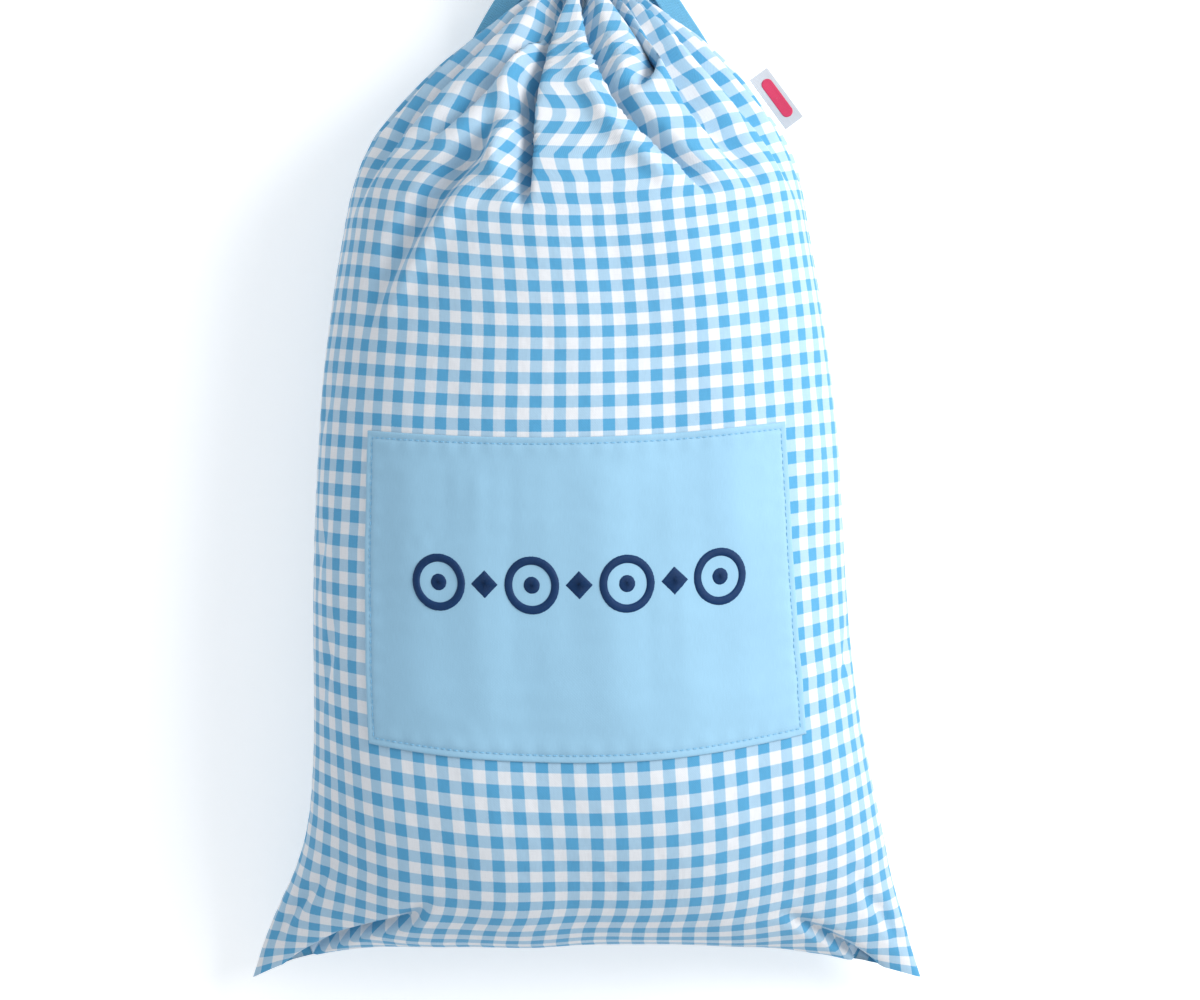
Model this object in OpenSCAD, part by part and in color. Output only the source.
// Drawstring laundry bag, filled and lying on its back with its neck cinched.
// X runs across the bag, Y from the bottom seam to the neck, and Z up out of the front panel.
// The origin is under the middle of the bag, on the surface that it lies on.

/* [Panels] */
// Flat width of a panel from side seam to side seam
panel_w = 368; // [350:1:385]
// Flat length of a panel from the bottom seam to the neck
panel_h = 590; // [560:1:620]
// Thickness of a cloth wall
wall = 1.2; // [1:0.1:1.5]
// Overall thickness of the filled bag
filled_t = 146; // [130:1:160]
// Height of the side seams above the surface that the bag lies on
seam_z = 60; // [50:1:70]
// Height of the bottom corners above that surface
ear_z = 30; // [20:1:40]
// Height of the middle of the bottom seam
hem_z = 48; // [40:1:55]

/* [Outline] */
// Half the distance between the two bottom corners
ear_half = 183; // [170:1:190]
// Half width where the skirt above the bottom seam ends
skirt_half = 153; // [140:1:160]
// Half width where the shoulder begins
shoulder_half = 123; // [110:1:130]
// Length of the bag from its bottom corners to its neck
body_len = 557; // [540:1:570]
// Length of the skirt, where the bag widens to its corners
skirt_len = 112; // [90:1:130]
// Length of the rounded shoulder
shoulder_len = 102; // [80:1:120]
// How far the middle of the bottom seam is drawn up from the corners
hem_draw = 22; // [10:1:30]

/* [Neck] */
// Outer radius of the gathered neck
neck_r = 25; // [23:0.5:28]
// Height of the neck's middle
neck_z = 50; // [48:1:60]
// Width of the casing that holds the tapes
casing_w = 22; // [20:1:26]
// Length of the ruffle beyond the casing
ruffle_w = 35; // [25:1:40]
// Radius of the hole left through the cinched neck
hole_r = 12; // [10:0.5:13]
// Radius of the ruffle's edge
ruffle_r = 37; // [32:1:40]

/* [Tapes] */
// Width of the drawstring tape
tape_w = 12; // [10:0.5:14]
// Thickness of the drawstring tape
tape_t = 1.2; // [1:0.1:1.5]
// Length of a stopper knot
knot_len = 22; // [18:1:26]
// Radius of a stopper knot
knot_r = 8; // [6:0.5:9]

/* [Patch and label] */
// Width of the patch
patch_w = 230; // [207:23:253]
// Height of the patch
patch_h = 157.3; // [137.7:19.67:177]
// Thickness of the patch
patch_t = 0.8; // [0.6:0.1:1]
// Distance of the topstitching from the patch's edge
stitch_inset = 3.5; // [3:0.5:6]
// Pitch of the embroidered shapes
motif_pitch = 24; // [20:1:26]
// Half height of the larger embroidered shapes
motif_r = 14; // [10:1:15]
// Length of the seam label
label_len = 34; // [28:1:40]
// Distance that the seam label stands out of the seam
label_out = 12; // [9:0.5:14]
// Thickness of the folded seam label
label_t = 0.7; // [0.5:0.1:1]

/* [Hidden] */

// The whole bag is centred on Y. The cloth's thickness stands this far out past its corners.
corner_proud = 0.4;
y_foot = (corner_proud - body_len - casing_w - ruffle_w) / 2;
y_neck = y_foot + body_len;
y_hem = y_foot + hem_draw;
y_shoulder = y_neck - shoulder_len;

// Fractions of the panel's length at which the outline changes.
skirt_k = 0.20;
shoulder_k = 0.76;
belly_k = 0.28;
fall_k = 0.77;
heel_k = 0.11;
rise_k = 0.86;
// Lengths along Y of the rounded ends of the front's and the back's middle line.
belly_len = 115;
fall_len = 125;
heel_len = 40;
rise_len = 80;
// Powers that round the shoulders and the front's fall to the neck, from a circle (1) to a straight slope (2).
shoulder_p = 1.6;
fall_p = 4 / 3;
// How much squarer than an ellipse the sections of the front and the back are.
front_square = 0.25;
back_square = 1.0;
// How far the filling presses the back flat.
press = 5;
// Gathers round the neck, and their depth at the neck as a share of its radius.
flutes = 12;
flute_depth = 0.06;
// Grid of a panel: steps from seam to seam and steps from the bottom to the neck.
cols = 32;
rows = 30;

neck_in = neck_r - wall;
top_z = filled_t - wall;
floor_z = wall;

// ---- small helpers

function lerp(a, b, f) = a + (b - a) * f;
function unit(v) = v / norm(v);
function ease(f) = f <= 0 ? 0 : f >= 1 ? 1 : f * f * (3 - 2 * f);
function flat_list(grid) = [for (row = grid) for (p = row) p];

// ---- the filled shape: t runs -1 to 1 from seam to seam, k runs 0 to 1 from bottom to neck

function skirt_f(k) = 1 - k / skirt_k;
function shoulder_a(k) = 90 * (k - shoulder_k) / (1 - shoulder_k);
function waist_f(k) = (k - skirt_k) / (shoulder_k - skirt_k);

function side_x(k) =
    k < skirt_k ? lerp(skirt_half, ear_half, pow(skirt_f(k), 1.3)) - wall
    : k < shoulder_k ? lerp(skirt_half, shoulder_half, pow(waist_f(k), 1.8)) - wall
    : neck_in + (shoulder_half - wall - neck_in) * pow(abs(cos(shoulder_a(k))), shoulder_p);

function side_y(k) =
    k < skirt_k ? y_foot + skirt_len * k / skirt_k
    : k < shoulder_k ? lerp(y_foot + skirt_len, y_shoulder, waist_f(k))
    : y_shoulder + shoulder_len * pow(sin(min(90, shoulder_a(k))), shoulder_p);

function side_z(k) =
    k < skirt_k ? lerp(ear_z, seam_z, ease(k / skirt_k))
    : lerp(seam_z, neck_z, ease((k - shoulder_k) / (1 - shoulder_k)));

function front_line(k) =
    k < belly_k ?
        let (a = 90 * k / belly_k)
        [y_hem + belly_len * (1 - cos(a)), lerp(hem_z, top_z, sin(a))]
    : k < fall_k ?
        [lerp(y_hem + belly_len, y_neck - fall_len, (k - belly_k) / (fall_k - belly_k)), top_z]
    :
        let (a = min(90, 90 * (k - fall_k) / (1 - fall_k)))
        [
            y_neck - fall_len + fall_len * pow(sin(a), fall_p),
            neck_z + neck_in + (top_z - neck_z - neck_in) * pow(abs(cos(a)), fall_p)
        ];

function back_line(k) =
    k < heel_k ?
        let (a = 90 * k / heel_k)
        [y_hem + heel_len * (1 - cos(a)), lerp(hem_z, floor_z - press, sin(a))]
    : k < rise_k ?
        [lerp(y_hem + heel_len, y_neck - rise_len, (k - heel_k) / (rise_k - heel_k)), floor_z - press]
    :
        let (f = (k - rise_k) / (1 - rise_k))
        [lerp(y_neck - rise_len, y_neck, f), lerp(floor_z - press, neck_z - neck_in, ease(f))];

// Turn of the section at t, which keeps steps of t nearly equal along the cloth.
function turn(t) = 90 * t - 8.5 * sin(180 * t);

// Scale of a section or a neck ring where the gathers fold it.
function flute(a, depth) = 1 + depth * cos(flutes * a);

// A point on the inner face of the front (side = 1) or the back (side = -1).
function cloth(t, k, side) =
    let (
        a = turn(t),
        n = 2 + (side > 0 ? front_square : back_square) * sqrt(abs(sin(180 * k))),
        across = sign(a) * pow(abs(sin(a)), 2 / n),
        up = pow(abs(cos(a)), 2 / n),
        middle = side > 0 ? front_line(k) : back_line(k),
        f = flute(a, flute_depth * pow(max(0, (k - fall_k) / (1 - fall_k)), 2)),
        x = side_x(k) * across * f,
        y = lerp(middle[0], side_y(k), across * across),
        z = lerp(side_z(k), middle[1], up)
    )
    [x, y, max(floor_z, neck_z + (z - neck_z) * f)];

// The outward direction there, which is straight out from the neck's axis at the neck.
function outward(t, k, side) =
    let (e = 0.004, p = cloth(t, k, side))
    k > 0.999 ? unit([p[0], 0, p[2] - neck_z])
    : side * unit(cross(
        cloth(min(1, t + e), k, side) - cloth(max(-1, t - e), k, side),
        cloth(t, min(1, k + e), side) - cloth(t, max(0, k - e), side)
    ));

function lifted(t, k, side, lift) = cloth(t, k, side) + lift * outward(t, k, side);

// A point over the front, u and v millimetres along the flat cloth from the middle of the bottom seam.
function on_front(u, v, lift) = lifted(2 * u / panel_w, v / panel_h, 1, lift);

// ---- closed solids from grids and routes of points

// A slab between two grids of points, where the second grid is the outer face.
module slab(inner, outer) {
    nr = len(inner);
    nc = len(inner[0]);
    half = nr * nc;
    function at(i, j, o) = o * half + i * nc + j;
    faces = concat(
        [for (i = [0:nr - 2]) for (j = [0:nc - 2]) each [
            [at(i, j, 0), at(i, j + 1, 0), at(i + 1, j + 1, 0)],
            [at(i, j, 0), at(i + 1, j + 1, 0), at(i + 1, j, 0)],
            [at(i, j, 1), at(i + 1, j + 1, 1), at(i, j + 1, 1)],
            [at(i, j, 1), at(i + 1, j, 1), at(i + 1, j + 1, 1)]
        ]],
        [for (i = [0:nr - 2]) for (j = [0, nc - 1]) each [
            j == 0 ? [at(i, j, 0), at(i + 1, j, 0), at(i + 1, j, 1)]
                : [at(i, j, 0), at(i + 1, j, 1), at(i + 1, j, 0)],
            j == 0 ? [at(i, j, 0), at(i + 1, j, 1), at(i, j, 1)]
                : [at(i, j, 0), at(i, j, 1), at(i + 1, j, 1)]
        ]],
        [for (j = [0:nc - 2]) for (i = [0, nr - 1]) each [
            i == 0 ? [at(i, j, 0), at(i, j + 1, 1), at(i, j + 1, 0)]
                : [at(i, j, 0), at(i, j + 1, 0), at(i, j + 1, 1)],
            i == 0 ? [at(i, j, 0), at(i, j, 1), at(i, j + 1, 1)]
                : [at(i, j, 0), at(i, j + 1, 1), at(i, j, 1)]
        ]]
    );
    polyhedron(concat(flat_list(inner), flat_list(outer)), faces, convexity = 8);
}

// A closed solid through a list of equal rings, open-ended (with caps) or joined into a loop.
module loft(rings, looped = false) {
    nr = len(rings);
    ns = len(rings[0]);
    function at(i, j) = (i % nr) * ns + (j % ns);
    walls = [for (i = [0:nr - (looped ? 1 : 2)]) for (j = [0:ns - 1]) each [
        [at(i, j), at(i + 1, j), at(i + 1, j + 1)],
        [at(i, j), at(i + 1, j + 1), at(i, j + 1)]
    ]];
    caps = looped ? [] : [
        [for (j = [0:ns - 1]) at(0, j)],
        [for (j = [ns - 1:-1:0]) at(nr - 1, j)]
    ];
    polyhedron(flat_list(rings), concat(walls, caps), convexity = 8);
}

// Direction of a route at its point i.
function heading(route, i) = unit(route[min(len(route) - 1, i + 1)] - route[max(0, i - 1)]);

// A flat tape along a route, lying level across its way. The widths are those of its first and last rings.
function tape_ring(p, dir, w, t) =
    let (across = unit(cross(dir, [0, 0, 1])), up = cross(across, dir))
    [for (a = [337.5:-45:0]) p + across * w / 2 * cos(a) / cos(22.5) + up * t / 2 * sin(a) / sin(67.5)];

module tape(route, starts, ends) {
    n = len(route);
    widths = [for (i = [0:n - 1])
        i < len(starts) ? starts[i] : i >= n - len(ends) ? ends[i - n + len(ends)] : tape_w];
    loft([for (i = [0:n - 1]) tape_ring(route[i], heading(route, i), widths[i], tape_t)]);
}

// A thin square thread over the front panel, along flat places [u, v].
module front_thread(places, lift, size) {
    n = len(places);
    loft([for (i = [0:n - 1])
        let (
            way = places[(i + 1) % n] - places[(i + n - 1) % n],
            side = [way[1], -way[0]] / norm(way) * size / 2,
            a = places[i] - side,
            b = places[i] + side
        )
        [
            on_front(a[0], a[1], lift + size), on_front(b[0], b[1], lift + size),
            on_front(b[0], b[1], lift), on_front(a[0], a[1], lift)
        ]
    ], looped = true);
}

// ---- panels and seams

module panel(side) {
    inner = [for (i = [0:rows]) [for (j = [0:cols])
        cloth(2 * j / cols - 1, i / rows, side)]];
    outer = [for (i = [0:rows]) [for (j = [0:cols])
        lifted(2 * j / cols - 1, i / rows, side, wall)]];
    slab(side > 0 ? inner : outer, side > 0 ? outer : inner);
}

module front_panel() color("#8fc1e3") panel(1);

module back_panel() color("#7fb5dc") panel(-1);

// The allowance of a seam inside the bag: a strip that stands in from the seam.
seam_in = 9;
seam_t = 1.6;
seam_gap = 1.6;

module seam_strip(edge, inward) {
    loft([for (i = [0:len(edge) - 1])
        let (a = edge[i] + inward[i] * seam_gap, b = edge[i] + inward[i] * seam_in)
        [
            a - [0, 0, seam_t / 2], b - [0, 0, seam_t / 2],
            b + [0, 0, seam_t / 2], a + [0, 0, seam_t / 2]
        ]
    ]);
}

module side_seam() {
    ks = [for (i = [3:27]) i / rows];
    edge = [for (k = ks) cloth(1, k, 1)];
    inward = [for (i = [0:len(ks) - 1]) let (d = heading(edge, i)) unit([-d[1], d[0], 0])];
    seam_strip(edge, inward);
}

module right_side_seam() color("#dfeaf5") side_seam();

module left_side_seam() color("#dfeaf5") mirror([1, 0, 0]) side_seam();

module bottom_seam() {
    ts = [for (i = [-12:12]) i * 0.8 / 12];
    edge = [for (t = ts) cloth(t, 0, 1)];
    color("#dfeaf5") seam_strip(edge, [for (t = ts) [0, 1, 0]]);
}

// ---- casing and ruffle round the neck, in halves that stop at the tape exits

exit_a = 82;
neck_steps = 32;

function neck_at(a, r, y, depth, side) =
    [r * sin(a) * flute(a, depth), y_neck + y, neck_z + side * r * cos(a) * flute(a, depth)];

module casing(side) {
    profile = [
        [neck_r, 0], [neck_r, casing_w], [hole_r, casing_w], [hole_r, 0],
        [hole_r + wall, 0], [hole_r + wall, casing_w - wall],
        [neck_r - wall, casing_w - wall], [neck_r - wall, 0]
    ];
    loft([for (i = [0:neck_steps])
        let (a = side * lerp(exit_a, -exit_a, i / neck_steps))
        [for (p = profile) neck_at(a, p[0], p[1], flute_depth, side)]
    ]);
}

module front_casing() color("#8fc1e3") casing(1);

module back_casing() color("#7fb5dc") casing(-1);

module ruffle(side) {
    steps = 6;
    ruffle_t = 1.4;
    base_r = hole_r + 2;
    edge_depth = 0.16;
    function ring(a, f, lift) = neck_at(a, lerp(base_r, ruffle_r, pow(f, 0.8)) + lift,
        casing_w + ruffle_w * f, lerp(flute_depth, edge_depth, f), side);
    angles = [for (i = [0:neck_steps]) side * lerp(-88, 88, i / neck_steps)];
    slab(
        [for (a = angles) [for (f = [0:steps]) ring(a, f / steps, ruffle_t)]],
        [for (a = angles) [for (f = [0:steps]) ring(a, f / steps, 0)]]
    );
}

module front_ruffle() color("#8fc1e3") ruffle(1);

module back_ruffle() color("#7fb5dc") ruffle(-1);

// Two rows of stitches that hold the casing, each a thin ring round the gathers.
stitch_t = 0.6;

module casing_stitching() {
    steps = 72;
    color("#eef3f8") for (y = [2, casing_w - 2])
        loft([for (i = [0:steps - 1])
            let (a = 360 * i / steps, r = neck_r + 0.3)
            [
                neck_at(a, r, y, flute_depth, 1), neck_at(a, r, y + stitch_t, flute_depth, 1),
                neck_at(a, r + stitch_t, y + stitch_t, flute_depth, 1),
                neck_at(a, r + stitch_t, y, flute_depth, 1)
            ]
        ], looped = true);
}

// The turned hem round each open end of the tunnel, where a tape leaves it.
module exit_hem() {
    hem_t = 0.8;
    edge = 1.2;
    outer_r = neck_r * 0.99;
    for (side = [-1, 1])
        translate([0, y_neck, neck_z])
            rotate([0, side * (exit_a - 90), 0])
                translate([0, 0, side > 0 ? -hem_t - 0.1 : 0.1])
                    linear_extrude(height = hem_t)
                        difference() {
                            translate([hole_r, 0])
                                square([outer_r - hole_r, casing_w]);
                            translate([hole_r + edge, edge])
                                square([outer_r - hole_r - 2 * edge, casing_w - 2 * edge]);
                        }
}

module right_exit_hem() color("#9cc9e6") exit_hem();

module left_exit_hem() color("#9cc9e6") mirror([1, 0, 0]) exit_hem();

// ---- tapes: each runs right round inside the casing and leaves it as two strands

run_r = 18;
run_t = 1.6;
run_w = 8;
left_run_y = 2;
right_run_y = 12;
stub_end = 25.4;

// The run that leaves on the right, folded lengthwise by the gathers, with its two stubs.
module tape_run(y) {
    open_a = 4;
    stub_t = 1.1;
    translate([0, y_neck + y, neck_z])
        rotate([-90, 0, 0]) {
            rotate([0, 0, open_a])
                rotate_extrude(angle = 360 - 2 * open_a, $fn = 96)
                    translate([run_r - run_t / 2, 0])
                        square([run_t, run_w]);
            for (s = [-1, 1])
                translate([run_r - run_t / 2, s > 0 ? 0.3 : -0.3 - stub_t, 0])
                    cube([stub_end - run_r + run_t / 2, stub_t, run_w]);
        }
}

module right_tape_run() color("#6fb3da") tape_run(right_run_y);

module left_tape_run() color("#6fb3da") mirror([1, 0, 0]) tape_run(left_run_y);

// Routes of the strands on the left and the right, from the exits down behind the shoulders
// to the surface and along under the bag's rounded sides to the knots.
left_exit = [-32, 256, 50];
right_exit = [32, 266, 50];

left_front_route = [
    [-26.3, 256, 50.9], [-28, 256, 50.9], [-32, 256, 50.4], [-42.5, 250.5, 41], [-53, 237.5, 30],
    [-63, 221.5, 20], [-72, 204, 12.5], [-81, 185.5, 7], [-88.5, 165.5, 4.2], [-94.5, 143, 3], [-100, 120, 2.7],
    [-105, 96, 2.7], [-110, 71, 2.7], [-114, 47, 2.7], [-117, 22, 2.7], [-120, -3, 2.7], [-124, -27, 2.7],
    [-129, -51, 3.4], [-134, -75, 6], [-138, -99.4, 8.9]
];
left_back_route = [
    [-26.3, 256, 49.1], [-28, 256, 49.1], [-32, 256, 48.6], [-41, 249.5, 38.5], [-50, 236, 27],
    [-59.5, 220, 17.5], [-68.5, 202, 10], [-77, 182.5, 4.6], [-84.5, 162.5, 2], [-91, 141, 1.1], [-96, 118, 1.1],
    [-101, 94, 1.1], [-106, 70, 1.1], [-110, 45, 1.1], [-113, 21, 1.1], [-117, -4, 1.1], [-121, -28, 1.1],
    [-127, -52, 1.8], [-133, -76, 4.2], [-138, -99.4, 7.1]
];
right_front_route = [
    [26.3, 266, 50.9], [28, 266, 50.9], [32, 265.5, 50.6], [42, 253.5, 43.5], [52.5, 240, 35],
    [63.5, 225.5, 25.5], [74, 208.5, 16.5], [83.5, 190, 10], [91, 169.5, 6], [97.5, 147, 4], [103, 124, 3],
    [107, 99, 2.7], [111, 75, 2.7], [115, 50, 2.7], [119, 25, 2.7], [123, 0, 2.7], [127, -24, 2.7],
    [131, -48, 3.4], [135, -72, 6], [138, -96.4, 8.9]
];
right_back_route = [
    [26.3, 266, 49.1], [28, 266, 49.1], [32, 265.5, 48.8], [40, 252.5, 40], [50.5, 239.5, 29.5],
    [60.5, 224, 19.5], [70, 206.5, 11.5], [78.5, 187, 5.6], [85.5, 166.5, 2.7], [91.5, 144, 1.3], [97, 121, 1.1],
    [102, 97, 1.1], [106, 73, 1.1], [111, 48, 1.1], [115, 24, 1.1], [119, -1, 1.1], [123, -25, 1.1],
    [128, -49, 1.8], [134, -73, 4.2], [138, -96.4, 7.1]
];
// The first rings are narrow, as the tape is folded at its exit, so that a strand can swing there.
strand_starts = [3.6, 6.4];
strand_ends = [8];

module left_front_strand() color("#7cc0e4") tape(left_front_route, strand_starts, strand_ends);

module left_back_strand() color("#6fb3da") tape(left_back_route, strand_starts, strand_ends);

module right_front_strand() color("#7cc0e4") tape(right_front_route, strand_starts, strand_ends);

module right_back_strand() color("#6fb3da") tape(right_back_route, strand_starts, strand_ends);

// A stopper knot that both strands of a loop end in, with their two short tails.
module knot(at) {
    tail_out = 22;
    translate(at)
        rotate([90, 0, 0])
            rotate_extrude($fn = 32)
                polygon([
                    [0, -knot_len / 2], [knot_r * 0.6, -knot_len / 2], [knot_r, -knot_len / 5],
                    [knot_r, knot_len / 5], [knot_r * 0.6, knot_len / 2], [0, knot_len / 2]
                ]);
    for (s = [-1, 1])
        tape([
            at + [s * 0.5, -knot_len / 2 - 0.2, s * 0.9],
            at + [s * 3, -knot_len / 2 - tail_out * 0.3, s * 0.9 - 2.5],
            at + [s * 6, -knot_len / 2 - tail_out * 0.65, 2 + s * 0.9 - at[2]],
            at + [s * 9, -knot_len / 2 - tail_out, 1.8 + s * 0.9 - at[2]]
        ], [7], []);
}

module left_knot() color("#6fb3da") knot([-138, -111, knot_r]);

module right_knot() color("#6fb3da") knot([138, -108, knot_r]);

// ---- patch, its stitching and the embroidered shapes

patch_foot = panel_h * 8 / rows;
patch_gap = 0.2;
patch_top = wall + patch_gap + patch_t;

module name_patch() {
    nc = round(cols * patch_w / panel_w);
    nr = round(rows * patch_h / panel_h);
    function grid(lift) = [for (i = [0:nr]) [for (j = [0:nc])
        on_front(panel_w * (j - nc / 2) / cols, patch_foot + panel_h * i / rows, lift)]];
    color("#9bcfe9") slab(grid(wall + patch_gap), grid(patch_top));
}

module patch_stitching() {
    w = patch_w - 2 * stitch_inset;
    h = patch_h - 2 * stitch_inset;
    foot = patch_foot + stitch_inset;
    across = 12;
    up = 8;
    loop = concat(
        [for (i = [0:across - 1]) [-w / 2 + w * i / across, foot]],
        [for (i = [0:up - 1]) [w / 2, foot + h * i / up]],
        [for (i = [0:across - 1]) [w / 2 - w * i / across, foot + h]],
        [for (i = [0:up - 1]) [-w / 2, foot + h - h * i / up]]
    );
    color("#86bfe0") front_thread(loop, patch_top + 0.5, 0.6);
}

// One embroidered shape: a thin raised ring or dot about a flat place, round or four-pointed.
module motif_shape(u, v, r_in, r_out, points, steps) {
    thick = 0.6;
    lift = patch_top + 0.6;
    function edge_r(r, a) = points ? r / (abs(cos(a)) + abs(sin(a))) : r;
    function spot(r, a, h) = on_front(u + edge_r(r, a) * cos(a), v + edge_r(r, a) * sin(a), h);
    loft([for (i = [0:steps - 1])
        let (a = 360 * i / steps)
        [spot(r_in, a, lift + thick), spot(r_out, a, lift + thick), spot(r_out, a, lift), spot(r_in, a, lift)]
    ], looped = true);
}

// A row of plain shapes: rings with a dot, and small diamonds between them.
motif_count = 7;

module patch_motif() {
    v = patch_foot + patch_h * 0.53;
    color("#00365f") for (i = [0:motif_count - 1]) {
        u = motif_pitch * (i - (motif_count - 1) / 2);
        if (i % 2 == 0) {
            motif_shape(u, v, motif_r * 0.62, motif_r * 0.95, false, 20);
            motif_shape(u, v, 0.4, motif_r * 0.3, false, 12);
        } else
            motif_shape(u, v, 0.4, motif_r * 0.62, true, 16);
    }
}

// ---- seam label on the right shoulder, which flaps about the seam

label_pivot = [101.2, 185.8, 57.3];
label_turn = 36;

module at_label() {
    translate(label_pivot)
        rotate([0, 0, label_turn])
            children();
}

module seam_label() {
    color("#f4f4f2") at_label()
        translate([0.5, -label_len / 2, -label_t / 2])
            cube([label_out, label_len, label_t]);
}

// A plain woven bar with round ends on the label's front.
module label_motif() {
    bar_w = 6.5;
    bar_len = 25;
    color("#ee4a72") at_label()
        translate([0.5 + label_out / 2, 0, label_t / 2])
            linear_extrude(height = 0.3)
                hull() {
                    translate([0, bar_len / 2 - bar_w / 2])
                        circle(d = bar_w, $fn = 24);
                    translate([0, bar_w / 2 - bar_len / 2])
                        circle(d = bar_w, $fn = 24);
                }
}

front_panel();
back_panel();
front_casing();
back_casing();
front_ruffle();
back_ruffle();
left_side_seam();
right_side_seam();
bottom_seam();
casing_stitching();
left_exit_hem();
right_exit_hem();
left_tape_run();
right_tape_run();
name_patch();
patch_stitching();
patch_motif();
left_front_strand();
left_back_strand();
left_knot();
right_front_strand();
right_back_strand();
right_knot();
seam_label();
label_motif();
